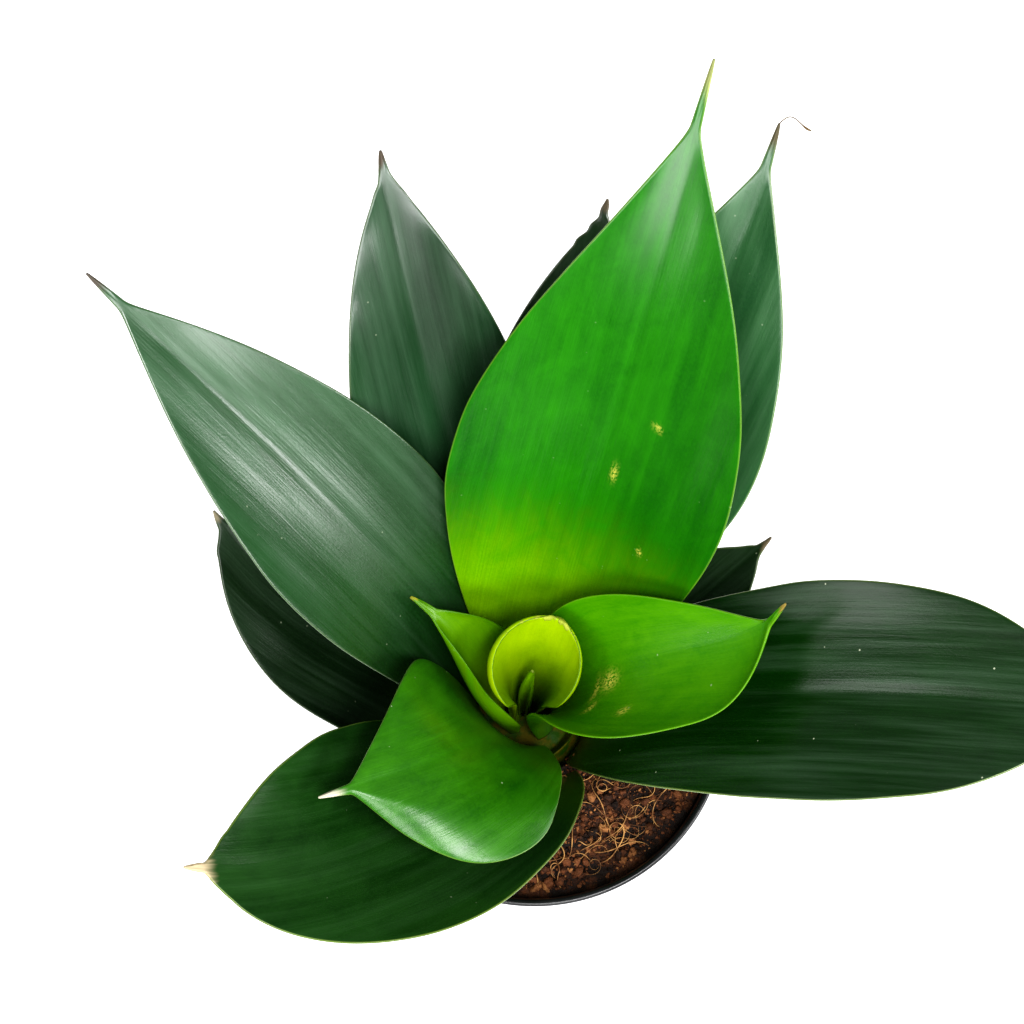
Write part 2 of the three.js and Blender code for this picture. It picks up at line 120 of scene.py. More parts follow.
# Colours of each leaf, 0-255, most of them as they look in daylight: deep and fresh green, foot, dry tip,
# margin line as edge, and underside. Leaf a's foot colour is brightened as painted light where the funnel
# shades its base, and leaf l's is darkened as painted shade inside its funnel; c and d are darker towards the
# foot. Reaches are in mm. Gloss is the specular level, the rest are strengths from 0 to 1; the bloom strength
# paints pale wax streaks, partly real bloom and partly painted sheen.
SKINS = {
    # Leaf a's foot colour is brightened as painted light where the funnel shades its base.
    "a": dict(deep=(5, 80, 0), fresh=(36, 126, 0), foot=(146, 198, 0), foot_reach=102,
              dry=(168, 178, 110), dry_reach=12, edge=(140, 170, 60), under=(66, 136, 20),
              gloss=0.16, margin=0.3, bloom=0, mottle=0.4, streak=0.5, tip_wax=0.9, specks=0.12),
    "b": dict(deep=(34, 78, 42), fresh=(58, 104, 62), foot=(78, 104, 72), foot_reach=70,
              dry=(86, 80, 44), dry_reach=9, edge=(140, 160, 90), under=(76, 114, 76),
              gloss=0.6, margin=0.3, bloom=0.1, mottle=0.35, streak=0.8, tip_wax=0.5, specks=0.25),
    "c": dict(deep=(14, 46, 20), fresh=(28, 70, 36), foot=(12, 44, 10), foot_reach=110,
              dry=(70, 58, 40), dry_reach=5, edge=(110, 130, 70), under=(52, 84, 54),
              gloss=0.6, margin=0.2, bloom=0.06, mottle=0.35, streak=0.8, tip_wax=1, specks=0.25),
    "d": dict(deep=(26, 66, 30), fresh=(42, 88, 48), foot=(6, 44, 0), foot_reach=175,
              dry=(74, 66, 50), dry_reach=8, edge=(130, 150, 90), under=(60, 98, 58),
              gloss=0.8, margin=0.15, bloom=0.08, mottle=0.3, streak=0.7, tip_wax=0.4, specks=0.25),
    "e": dict(deep=(8, 26, 8), fresh=(20, 44, 16), foot=(44, 74, 10), foot_reach=35,
              dry=(160, 150, 122), dry_reach=4, edge=(90, 110, 60), under=(40, 64, 38),
              gloss=0.35, margin=0.2, bloom=0.12, mottle=0.4, streak=0.7, tip_wax=0, specks=0.3),
    "f": dict(deep=(12, 34, 12), fresh=(28, 56, 26), foot=(44, 74, 10), foot_reach=35,
              dry=(120, 104, 80), dry_reach=4, edge=(130, 140, 90), under=(46, 72, 44),
              gloss=0.6, margin=0.3, bloom=0.1, mottle=0.4, streak=0.7, tip_wax=0.5, specks=0.3),
    "g": dict(deep=(12, 46, 8), fresh=(32, 74, 22), foot=(64, 100, 4), foot_reach=46,
              dry=(204, 184, 148), dry_reach=9, edge=(140, 160, 70), under=(50, 80, 36),
              gloss=0.3, margin=0.4, bloom=0.04, mottle=0.5, streak=0.6, tip_wax=0, specks=0.3),
    "h": dict(deep=(16, 78, 0), fresh=(58, 128, 2), foot=(96, 144, 0), foot_reach=54,
              dry=(206, 200, 176), dry_reach=7, edge=(150, 176, 90), under=(70, 124, 30),
              gloss=0.6, margin=0.3, bloom=0.02, mottle=0.55, streak=0.4, tip_wax=0, specks=0.9),
    "i": dict(deep=(1, 32, 0), fresh=(8, 56, 2), foot=(44, 74, 0), foot_reach=40,
              dry=(110, 92, 60), dry_reach=8, edge=(150, 172, 90), under=(38, 76, 30),
              gloss=0.55, margin=0.4, bloom=0.18, mottle=0.4, streak=0.6, tip_wax=0.4, specks=0.9),
    "j": dict(deep=(44, 122, 0), fresh=(92, 160, 0), foot=(128, 180, 0), foot_reach=50,
              dry=(150, 130, 60), dry_reach=2, edge=(110, 160, 20), under=(46, 118, 0),
              gloss=0.28, margin=0.5, bloom=0, mottle=0.5, streak=0.4, tip_wax=0, specks=0.5),
    "k": dict(deep=(62, 118, 0), fresh=(100, 146, 0), foot=(150, 186, 0), foot_reach=50,
              dry=(150, 150, 40), dry_reach=2, edge=(60, 108, 0), under=(92, 156, 0),
              gloss=0.3, margin=0.6, bloom=0, mottle=0.5, streak=0.4, tip_wax=0, specks=0.1),
    # Leaf l's foot colour is darker than its green as painted shade inside its funnel.
    "l": dict(deep=(132, 170, 0), fresh=(174, 203, 0), foot=(96, 138, 0), foot_reach=70,
              dry=(170, 180, 60), dry_reach=1, edge=(82, 122, 0), under=(160, 196, 0),
              gloss=0.25, margin=0.9, bloom=0, mottle=0.35, streak=0.3, tip_wax=0, specks=0),
    "m": dict(deep=(116, 170, 0), fresh=(140, 190, 0), foot=(112, 144, 0), foot_reach=20,
              dry=(140, 160, 60), dry_reach=1, edge=(70, 110, 0), under=(100, 150, 0),
              gloss=0.25, margin=0.6, bloom=0, mottle=0.3, streak=0.4, tip_wax=0, specks=0),
    "n": dict(deep=(10, 32, 10), fresh=(26, 50, 20), foot=(44, 74, 10), foot_reach=30,
              dry=(96, 84, 60), dry_reach=4, edge=(120, 140, 80), under=(42, 68, 38),
              gloss=0.4, margin=0.3, bloom=0.12, mottle=0.4, streak=0.7, tip_wax=0, specks=0.4),
}

# Scuffs and scars: leaf, share along it, place across it (-1 to 1), size in mm along and across.
SCARS = {
    "a": ((0.46, -0.12, 2.6, 0.4), (0.55, -0.33, 0.9, 0.9), (0.36, -0.50, 1.0, 0.5)),
    "j": ((0.49, -0.17, 3.2, 2.6), (0.445, -0.25, 1.2, 3.6), (0.47, -0.50, 1.2, 2.2),
          (0.59, -0.55, 1.6, 1.2)),
}


# Small tools

def shade(red, green, blue):
    """Screen colour 0-255 as the linear colour a shader wants."""
    c = np.array([red, green, blue]) / 255
    linear = np.where(c <= 0.04045, c / 12.92, ((c + 0.055) / 1.055) ** 2.4)
    return (*[float(v) for v in linear], 1.0)


def control(values, share):
    """Clamped cubic B-spline through evenly spread control values, read at share 0 to 1."""
    values = np.asarray(values, float)
    share = np.clip(np.asarray(share, float), 0, 1 - 1e-9)
    count = len(values)
    knots = np.concatenate([[0, 0, 0], np.linspace(0, 1, count - 2), [1, 1, 1]])
    basis = [((share >= knots[i]) & (share < knots[i + 1])).astype(float) for i in range(count + 3)]
    for degree in (1, 2, 3):
        following = []
        for i in range(count + 3 - degree):
            left = knots[i + degree] - knots[i]
            right = knots[i + degree + 1] - knots[i + 1]
            rising = (share - knots[i]) / left * basis[i] if left > 0 else 0 * share
            falling = (knots[i + degree + 1] - share) / right * basis[i + 1] if right > 0 else 0 * share
            following.append(rising + falling)
        basis = following
    return sum(values[i] * basis[i] for i in range(count))


def lumps(x, y, cell, seed):
    """Smooth value noise from -1 to 1: random heights on a square lattice, eased between its corners."""
    lattice = np.random.default_rng(seed).uniform(-1, 1, (LATTICE, LATTICE))
    u, v = np.asarray(x) / cell, np.asarray(y) / cell
    i, j = np.floor(u).astype(int), np.floor(v).astype(int)
    a, b = u - i, v - j
    a, b = a * a * (3 - 2 * a), b * b * (3 - 2 * b)
    corner = lambda p, q: lattice[(i + p) % LATTICE, (j + q) % LATTICE]
    near = corner(0, 0) * (1 - a) + corner(1, 0) * a
    far = corner(0, 1) * (1 - a) + corner(1, 1) * a
    return near * (1 - b) + far * b


def ease(value, low, high):
    """0 below low, 1 above high, smooth between."""
    t = np.clip((value - low) / (high - low), 0, 1)
    return t * t * (3 - 2 * t)


def make_piece(name, points, faces, material, replaced=None, fields=None):
    """A mesh piece from points in mm; fields are values kept on its points for its material."""
    mesh = bpy.data.meshes.new(name)
    mesh.from_pydata((np.asarray(points) * MM).tolist(), [], [list(f) for f in faces])
    mesh.polygons.foreach_set("use_smooth", np.ones(len(mesh.polygons), bool))
    for field, values in (fields or {}).items():
        values = np.asarray(values, float)
        kind, key = ("FLOAT_VECTOR", "vector") if values.ndim == 2 else ("FLOAT", "value")
        mesh.attributes.new(field, kind, "POINT").data.foreach_set(key, values.ravel())
    mesh.materials.append(material)
    mesh.update()
    piece = bpy.data.objects.new(name, mesh)
    bpy.context.scene.collection.objects.link(piece)
    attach(piece, "root")
    if replaced:
        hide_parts(replaced)
    return piece


def grid_faces(rows, columns, wrap):
    """Quads of a grid of points numbered row by row; wrap joins the last column to the first."""
    i = np.arange(rows - 1)[:, None]
    j = np.arange(columns if wrap else columns - 1)[None]
    k = (j + 1) % columns
    corners = np.stack(np.broadcast_arrays(i * columns + j, (i + 1) * columns + j,
                                           (i + 1) * columns + k, i * columns + k), -1)
    return corners.reshape(-1, 4)


def fan(ring, middle):
    """Triangles from a closed ring of point numbers to one middle point."""
    return np.stack([ring, np.roll(ring, -1), np.full_like(ring, middle)], -1)


def capped(rows, loop):
    """Faces of a closed sweep: its wrapped grid, and a fan from each end row to a point after the grid."""
    count = rows * loop
    return [*grid_faces(rows, loop, True).tolist(),
            *fan(np.arange(loop), count).tolist(),
            *fan(np.arange(count - loop, count)[::-1], count + 1).tolist()]


# Shader wiring

class Wiring:
    """Short calls that add nodes to one tree and link them."""

    def __init__(self, tree):
        self.tree = tree

    def node(self, kind, **settings):
        """A new node of one kind, with its settings."""
        made = self.tree.nodes.new("ShaderNode" + kind)
        for key, value in settings.items():
            setattr(made, key, value)
        return made

    def feed(self, socket, value):
        """Links another socket to this one, or sets its number or colour."""
        if isinstance(value, bpy.types.NodeSocket):
            self.tree.links.new(value, socket)
        else:
            socket.default_value = value

    def math(self, operation, *values, clamp=False):
        """One step of arithmetic, held between 0 and 1 where clamp is set."""
        made = self.node("Math", operation=operation, use_clamp=clamp)
        for socket, value in zip(made.inputs, values):
            self.feed(socket, value)
        return made.outputs[0]

    def times(self, first, second, clamp=False):
        """The product of two values."""
        return self.math("MULTIPLY", first, second, clamp=clamp)

    def add(self, first, *others, clamp=False):
        """The sum of the values; only the whole sum is clamped."""
        for left, other in enumerate(others, 1 - len(others)):
            first = self.math("ADD", first, other, clamp=clamp and left == 0)
        return first

    def lean(self, value, strength):
        """How far a noise leans from its middle, times a strength."""
        return self.times(self.math("SUBTRACT", value, 0.5), strength)

    def parts(self, vector):
        """The three numbers of a vector."""
        made = self.node("SeparateXYZ")
        self.feed(made.inputs[0], vector)
        return made.outputs

    def spread(self, value, low, high, to_low=0.0, to_high=1.0):
        """Value mapped smoothly from low..high to to_low..to_high."""
        made = self.node("MapRange", interpolation_type="SMOOTHSTEP")
        for socket, number in zip(made.inputs, (value, low, high, to_low, to_high)):
            self.feed(socket, number)
        return made.outputs[0]

    def blend(self, share, first, second):
        """The first colour at share 0, the second at share 1."""
        made = self.node("Mix", data_type="RGBA", clamp_factor=True)
        self.feed(made.inputs[0], share)
        self.feed(made.inputs[6], first)
        self.feed(made.inputs[7], second)
        return made.outputs[2]

    def field(self, name):
        """A value kept on the piece's own points."""
        return self.node("Attribute", attribute_name=name)

    def stretch(self, vector, scale):
        """A place times a scale for each direction."""
        made = self.node("VectorMath", operation="MULTIPLY")
        self.feed(made.inputs[0], vector)
        self.feed(made.inputs[1], scale)
        return made.outputs[0]

    def noise(self, vector, scale, detail=3.0, rough=0.5, bend=0.0):
        """Fractal noise from 0 to 1; scale is lumps for each unit, in three directions."""
        made = self.node("TexNoise")
        self.feed(made.inputs["Vector"], self.stretch(vector, scale))
        made.inputs["Scale"].default_value = 1.0
        made.inputs["Detail"].default_value = detail
        made.inputs["Roughness"].default_value = rough
        made.inputs["Distortion"].default_value = bend
        return made.outputs[0]

    def cells(self, vector, scale):
        """Distance to the nearest of scattered points, and a random number for each of them."""
        made = self.node("TexVoronoi", feature="F1")
        self.feed(made.inputs["Vector"], self.stretch(vector, scale))
        made.inputs["Scale"].default_value = 1.0
        dice = self.node("SeparateColor")
        self.feed(dice.inputs[0], made.outputs["Color"])
        return made.outputs["Distance"], dice.outputs[0]


def new_group(name, inputs, outputs):
    """A shader node group with named sockets, its wiring and its input and output nodes."""
    tree = bpy.data.node_groups.new(name, "ShaderNodeTree")
    for label, kind in inputs:
        tree.interface.new_socket(label, in_out="INPUT", socket_type="NodeSocket" + kind)
    for label, kind in outputs:
        tree.interface.new_socket(label, in_out="OUTPUT", socket_type="NodeSocket" + kind)
    return tree, Wiring(tree), tree.nodes.new("NodeGroupInput"), tree.nodes.new("NodeGroupOutput")


SKIN_COLOURS = ("Deep", "Fresh", "Foot", "Dry", "Under", "Edge")
SKIN_NUMBERS = ("Foot Reach", "Dry Reach", "Margin", "Bloom", "Mottle", "Streak", "Specks", "Tip Wax")


def leaf_skin_group():
    """Waxy leaf skin. Reads the fields that leaf_fields keeps on a leaf: grain, rim and scar. Streaks are
    noise stretched along the leaf, mottles are short noise, and the foot, the tip and the margin are masks
    of the distances."""
    tree, w, given, result = new_group(
        "leaf skin",
        [(label, "Color") for label in SKIN_COLOURS] + [(label, "Float") for label in SKIN_NUMBERS],
        [("Color", "Color"), ("Roughness", "Float"), ("Coat", "Float"), ("Height", "Float")])
    ask = given.outputs
    grain = w.field("grain").outputs["Vector"]
    along = w.parts(grain)[1]
    to_margin, to_tip, underside = w.parts(w.field("rim").outputs["Vector"])

    # Noises in lumps for each mm: across the leaf, along it.
    bands = w.noise(grain, (0.085, 0.006, 1.0), 2.0)
    streaks = w.noise(grain, (0.45, 0.016, 1.0), 4.0, 0.6)
    veins = w.noise(grain, (2.2, 0.03, 1.0), 3.0, 0.6)
    patches = w.noise(grain, (0.14, 0.075, 1.0), 5.0, 0.62, 0.6)
    pebbles = w.noise(grain, (1.5, 0.9, 1.0), 3.0, 0.55)

    # The green, from deep to fresh by three noises, and the foot's colour with a wandering border; on leaf a
    # that colour holds painted light, on leaf l painted shade.
    freshness = w.add(0.5, w.lean(bands, w.times(ask["Streak"], 2.6)),
                      w.lean(patches, w.times(ask["Mottle"], 2.4)),
                      w.lean(streaks, w.times(ask["Streak"], 1.3)), clamp=True)
    colour = w.blend(freshness, ask["Deep"], ask["Fresh"])
    from_foot = w.math("DIVIDE", w.add(along, w.lean(patches, 30.0)), ask["Foot Reach"])
    colour = w.blend(w.spread(from_foot, 0.1, 1.0, 1.0, 0.0), colour, ask["Foot"])

    # Pale wax bloom in streaks, partly real wax and partly painted sheen where the leaves shine; fine veins
    # and pebbles, the underside and the margin line.
    streaky_wax_and_sheen = w.spread(w.add(w.times(bands, 0.5), w.times(streaks, 0.5)), 0.42, 0.66)
    wax_and_painted_sheen = w.times(ask["Bloom"], streaky_wax_and_sheen, clamp=True)
    colour = w.blend(w.times(wax_and_painted_sheen, 0.55), colour, shade(150, 176, 156))
    colour = w.blend(w.times(w.spread(veins, 0.35, 0.65), 0.16), colour, ask["Deep"])
    colour = w.blend(w.times(w.spread(pebbles, 0.35, 0.65), 0.16), colour, ask["Fresh"])
    beneath = w.blend(w.spread(streaks, 0.3, 0.7), ask["Under"], ask["Fresh"])
    colour = w.blend(underside, colour, beneath)
    on_margin = w.spread(w.add(to_margin, w.times(streaks, 0.4)), 0.30, 0.62, 1.0, 0.0)
    colour = w.blend(w.times(ask["Margin"], on_margin, clamp=True), colour, ask["Edge"])

    # White flecks at some of the scattered points, scars, and the dry tip.
    near, dice = w.cells(grain, (0.22, 0.22, 1.0))
    chosen = w.times(w.math("GREATER_THAN", dice, 0.70), ask["Specks"])
    colour = w.blend(w.times(chosen, w.spread(near, 0.035, 0.08, 1.0, 0.0)), colour, shade(196, 204, 176))
    worn = w.times(w.field("scar").outputs["Fac"], w.spread(pebbles, 0.40, 0.56), clamp=True)
    colour = w.blend(worn, colour, shade(226, 212, 92))
    from_tip = w.math("DIVIDE", w.add(to_tip, w.lean(streaks, 8.0)), ask["Dry Reach"])
    parched = w.spread(from_tip, 0.5, 1.15, 1.0, 0.0)
    scorched = w.blend(0.4, ask["Dry"], shade(60, 44, 28))
    colour = w.blend(parched, colour, w.blend(w.spread(streaks, 0.4, 0.62), ask["Dry"], scorched))
    w.feed(result.inputs["Color"], colour)

    # Scars and dry tips are dull, the rest is satin with more wax near the tip.
    dull = w.math("MAXIMUM", worn, parched)
    rough = w.add(0.22, w.times(streaks, 0.12), w.times(patches, 0.06))
    w.feed(result.inputs["Roughness"], w.add(rough, w.times(dull, 0.3), clamp=True))
    waxed = w.add(0.05, w.times(ask["Tip Wax"], w.spread(to_tip, 28, 85, 1.0, 0.0)))
    w.feed(result.inputs["Coat"], w.times(w.math("SUBTRACT", 1.0, dull), waxed))
    relief = w.add(w.times(veins, 0.045), w.times(streaks, 0.12), w.times(pebbles, 0.035),
                   w.times(dull, 0.12))
    w.feed(result.inputs["Height"], relief)
    return tree


def plain_material(name, roughness=0.5, specular=0.5):
    """A material with its wiring and its Principled shader; gloss is set on the shader's own sockets."""
    material = bpy.data.materials.new(name)
    material.use_nodes = True
    shader = material.node_tree.nodes["Principled BSDF"]
    shader.inputs["Roughness"].default_value = roughness
    shader.inputs["Specular IOR Level"].default_value = specular
    return material, Wiring(material.node_tree), shader


def bump(w, shader, height):
    """Fine relief on a shader from a height in mm."""
    made = w.node("Bump")
    made.inputs["Strength"].default_value = 1.0
    made.inputs["Distance"].default_value = MM
    w.feed(made.inputs["Height"], height)
    w.feed(shader.inputs["Normal"], made.outputs[0])


def leaf_material(key, skin_group):
    """The shared leaf skin with one leaf's colours, reaches and strengths."""
    skin = SKINS[key]
    material, w, shader = plain_material("leaf skin " + key, specular=skin["gloss"])
    skin_node = w.node("Group", node_tree=skin_group)
    for label in SKIN_COLOURS:
        skin_node.inputs[label].default_value = shade(*skin[label.lower()])
    for label in SKIN_NUMBERS:
        skin_node.inputs[label].default_value = skin[label.lower().replace(" ", "_")]
    w.feed(shader.inputs["Base Color"], skin_node.outputs["Color"])
    w.feed(shader.inputs["Roughness"], skin_node.outputs["Roughness"])
    w.feed(shader.inputs["Coat Weight"], skin_node.outputs["Coat"])
    shader.inputs["Coat Roughness"].default_value = 0.25
    bump(w, shader, skin_node.outputs["Height"])
    return material


# Leaves

def leaf_path(shape, share):
    """Middle line of a leaf and its frame: heading and rise are splines of the share along it, the line is
    their running sum, and the section's two axes lie square to it, turned by roll and brought level."""
    fine = np.linspace(0, 1, LINE_STEPS + 1)
    turn, climb = control(shape["heading"], fine) * DEGREE, control(shape["rise"], fine) * DEGREE
    ahead = np.stack([np.cos(climb) * np.cos(turn), np.cos(climb) * np.sin(turn), np.sin(climb)], -1)
    line = np.zeros((LINE_STEPS + 1, 3))
    line[1:] = np.cumsum((ahead[1:] + ahead[:-1]) / 2 * shape["length"] / LINE_STEPS, axis=0)
    line += (PLANT_AXIS[0] + shape["ring"] * math.cos(turn[0]),
             PLANT_AXIS[1] + shape["ring"] * math.sin(turn[0]), FOOT_HEIGHT)
    at = lambda values: np.interp(share, fine, values)
    turn, climb, line = at(turn), at(climb), np.stack([at(line[:, k]) for k in range(3)], -1)
    ahead = np.stack([np.cos(climb) * np.cos(turn), np.cos(climb) * np.sin(turn), np.sin(climb)], -1)
    across = np.stack([-np.sin(turn), np.cos(turn), 0 * turn], -1)
    up = np.cross(ahead, across)
    level = control(shape.get("level", STRAIGHT), share)[:, None]
    up = up * (1 - level) - np.stack([np.cos(turn), np.sin(turn), 0 * turn], -1) * level
    up /= np.linalg.norm(up, axis=-1, keepdims=True)
    roll = control(shape.get("roll", STRAIGHT), share) * DEGREE
    c, d = np.cos(roll)[:, None], np.sin(roll)[:, None]
    return line, across * c + up * d, up * c - across * d


def leaf_widths(shape, share):
    """Half-width along a leaf: a spline up to the awn, joined as a root of squares to the awn's own taper."""
    awn = shape["awn"] / shape["length"]
    foot_half = shape["ring"] * shape["cup"][0] * DEGREE
    blade = np.where(share > 1 - awn, 0, control((foot_half,) + shape["half"], share / (1 - awn)))
    thin = AWN_HALF * np.clip((1 - share) / awn, 0, 1) ** 0.8 + shape.get("point", POINT_HALF)
    return np.hypot(blade, thin * np.minimum(3 * share, 1))


def places_across(half, columns):
    """Places from -1 to 1 across each row: even steps, then three close ones that round over each margin.
    Also gives the share of the half-width that the rounding takes, about 0.45 mm."""
    rounding = np.clip(0.45 / half, 0.01, 0.6)[:, None]
    inner = np.linspace(-1, 1, columns - 3)[None] * (1 - rounding)
    outer = 1 - rounding * np.array([[0.45, 0.12, 0.0]])
    return np.concatenate([-outer[:, ::-1], inner, outer], 1), rounding


def leaf_arc(shape, share, half, v, number):
    """Run and lift at the places v of each section: the section's angle grows evenly from its middle, and run
    and lift are the running sums of its cosine and sine. Skew widens one side, lop bends one side more, and
    noise makes the margin wander and, near a ragged tip, tear."""
    cup = control(shape["cup"], share)[:, None] * DEGREE
    skew = control(shape.get("skew", STRAIGHT), share)[:, None]
    lop = control(shape.get("lop", STRAIGHT), share)[:, None]
    fine = np.linspace(-1, 1, ARC_STEPS + 1)[None]
    side = half[:, None] * (1 + np.where(fine > 0, 1, -1) * skew)
    ragged, ragged_from = shape.get("ragged", (0, 0.9))
    torn = ease(share, ragged_from - 0.04, min(ragged_from + 0.05, 0.99))[:, None] * ragged
    along = shape["length"] * share[:, None]
    side = side * (1 + torn * lumps(along + 90 * (fine > 0), 0 * fine + 7.3 * number, 2.6, 40 + number)
                   + 0.010 * lumps(along + 50 * (fine > 0), 0 * fine + 3.1 * number, 16.0, 20 + number))
    angle = cup * fine * (1 - lop * np.sign(fine))
    where = (v + 1) / 2 * ARC_STEPS
    cell = np.clip(where.astype(int), 0, ARC_STEPS - 1)
    part = where - cell
    rows = np.arange(len(share))[:, None]

    def summed(slope):
        """The running sum of a slope over the fine steps, zero in the middle, read at the places."""
        steps = np.cumsum((slope[:, 1:] + slope[:, :-1]) / ARC_STEPS, 1)
        total = np.concatenate([0 * slope[:, :1], steps], 1)
        total = total - total[:, ARC_STEPS // 2, None]
        return total[rows, cell] * (1 - part) + total[rows, cell + 1] * part

    return summed(side * np.cos(angle)), summed(side * np.sin(angle))


def leaf_relief(shape, share, half, v, number):
    """What is added square to the arc: a sine wave that grows to the margins, slow undulations stretched
    along the leaf, less a soft middle channel, and less the fall of one margin where the leaf droops."""
    awn = shape["awn"] / shape["length"]
    along, sideways = shape["length"] * share[:, None], v * half[:, None]
    amount, cycles, phase = shape["wave"]
    wave = amount * np.abs(v) ** 3 * np.sin(2 * math.pi * cycles * share[:, None] + phase + 2.1 * (v > 0))
    slow = (0.34 * lumps(sideways + 200, along / 4, 11.0, 60 + number)
            + 0.07 * lumps(sideways + 200, along / 6, 3.6, 80 + number))
    channel = shape["channel"] * np.exp(-(sideways / 2.4) ** 2)
    free = (ease(share, 0.22, 0.45) * ease(1 - share, awn, awn + 0.10))[:, None]
    fall, fall_from, fall_to = shape.get("droop", (0, 0, 1))
    hanging = (ease(share, fall_from, fall_from + 0.15) * ease(share, fall_to, fall_to - 0.15))[:, None]
    return free * (wave + slow - channel) - fall * hanging * np.clip((v - 0.45) / 0.55, 0, 1) ** 1.6


def leaf_thickness(shape, share, half, v, rounding):
    """Thickest in the middle and less to the tip, thinner by a power of the place across, and closed at the
    margin as a quarter round."""
    edge = shape.get("edge", EDGE_THICK)
    body = shape.get("thick", BLADE_THICK) * (1.1 - 0.4 * share)[:, None]
    thick = edge + (body - edge) * (1 - np.abs(v) ** 2.4)
    thick = np.maximum(np.minimum(thick, 0.3 + 0.9 * half[:, None]), min(edge, 0.6))
    beyond = np.clip((np.abs(v) - (1 - rounding)) / rounding, 0, 1)
    return thick * np.sqrt(1 - beyond ** 2)


def unfold(upper, lower):
    """Rows that run over the upper side and back along the lower one, each margin taken once."""
    return np.concatenate([upper, lower[:, -2:0:-1]], 1)


def leaf_fields(key, number, share, half, v):
    """What a leaf's material reads: grain = mm across, mm along and a number apart for each leaf; rim = mm to
    the margin, mm to the tip and the share of underside; scar = soft round spots on the upper side."""
    length = LEAVES[key]["length"]
    along, sideways = length * share[:, None] + 0 * v, v * half[:, None]
    to_margin = (1 - np.abs(v)) * half[:, None]
    to_tip = (1 - share)[:, None] * length + 0 * v
    scar = 0 * v
    for at_share, at_side, tall, wide in SCARS.get(key, ()):
        scar = np.maximum(scar, np.exp(-((along - at_share * length) / tall) ** 2
                                       - ((sideways - at_side * half[:, None]) / wide) ** 2))

    def kept(upper, lower, at_ends):
        """Values of both sides in the order of the points, then one for each of the two end points."""
        return np.append(unfold(upper, lower), [at_ends, at_ends])

    across_mm = kept(sideways, sideways + UNDERSIDE_APART, 0)
    apart = np.full(len(across_mm), LEAF_APART * number)
    underside = kept(0.5 * (np.abs(v) > 0.999), 0 * v + 1, 0.5)
    return {
        "grain": np.stack([across_mm, kept(along, along, length), apart], -1),
        "rim": np.stack([kept(to_margin, to_margin, 0), kept(to_tip, to_tip, 0), underside], -1),
        "scar": kept(scar, 0 * v, 0),
    }


def leaf_blade(key, number):
    """A closed leaf: arc and relief are set out on the middle line's frame, half the thickness is added to
    each side along the surface's normal, and the loops of both sides are joined and capped."""
    shape = LEAVES[key]
    rows, columns = shape["grid"]
    share = 1 - (1 - np.linspace(0, 1, rows + 1)) ** 1.25
    half = leaf_widths(shape, share)
    v, rounding = places_across(half, columns)
    run, lift = leaf_arc(shape, share, half, v, number)
    lift = lift + leaf_relief(shape, share, half, v, number)
    line, across, up = leaf_path(shape, share)
    middle = line[:, None] + run[..., None] * across[:, None] + lift[..., None] * up[:, None]
    hook = np.array(shape.get("hook", (0, 0, 0)), float)
    middle = middle + (ease(share, shape.get("hook_from", 0.9), 1.0) ** 1.5)[:, None, None] * hook

    facing = np.cross(np.gradient(middle, axis=0), np.gradient(middle, axis=1))
    facing /= np.maximum(np.linalg.norm(facing, axis=-1, keepdims=True), 1e-12)
    outward = facing * (leaf_thickness(shape, share, half, v, rounding) / 2)[..., None]
    points = unfold(middle + outward, middle - outward)
    ends = middle[[0, -1], columns // 2]
    return (np.concatenate([points.reshape(-1, 3), ends]), capped(rows + 1, points.shape[1]),
            leaf_fields(key, number, share, half, v))


def tube(paths, radii, sides=5):
    """Tubes along many paths at once: paths is (tubes, points, 3) in mm, radii (tubes, points)."""
    ahead = np.gradient(paths, axis=1)
    ahead /= np.maximum(np.linalg.norm(ahead, axis=-1, keepdims=True), 1e-9)
    beside = np.stack([-ahead[..., 1], ahead[..., 0], 0 * ahead[..., 0] + 1e-6], -1)
    beside /= np.linalg.norm(beside, axis=-1, keepdims=True)
    over = np.cross(ahead, beside)
    turn = np.arange(sides) * 2 * math.pi / sides
    ring = beside[:, :, None] * np.cos(turn)[:, None] + over[:, :, None] * np.sin(turn)[:, None]
    points = paths[:, :, None] + ring * radii[:, :, None, None]
    count, steps = paths.shape[:2]
    quads = grid_faces(steps, sides, True)[:, ::-1]
    faces = []
    for k in range(count):
        base = k * steps * sides
        faces += (quads + base).tolist()
        faces.append((np.arange(sides)[::-1] + base).tolist())
        faces.append((np.arange(sides) + base + (steps - 1) * sides).tolist())
    return points.reshape(-1, 3), faces


# Pot, soil, crown

def rounded(profile, radius, steps=6):
    """Each inner corner of a profile becomes a quadratic curve that starts at most radius before it."""
    p = np.array(profile, float)
    before, corner, after = p[:-2], p[1:-1], p[2:]

    def toward(other):
        """The point near each corner from which its curve starts."""
        gap = np.linalg.norm(other - corner, axis=1, keepdims=True)
        return corner + (other - corner) * np.minimum(radius / gap, 0.48)

    a, b = toward(before), toward(after)
    t = np.linspace(0, 1, steps + 1)[None, :, None]
    curve = (1 - t) ** 2 * a[:, None] + 2 * t * (1 - t) * corner[:, None] + t ** 2 * b[:, None]
    return np.concatenate([p[:1], curve.reshape(-1, 2), p[-1:]])


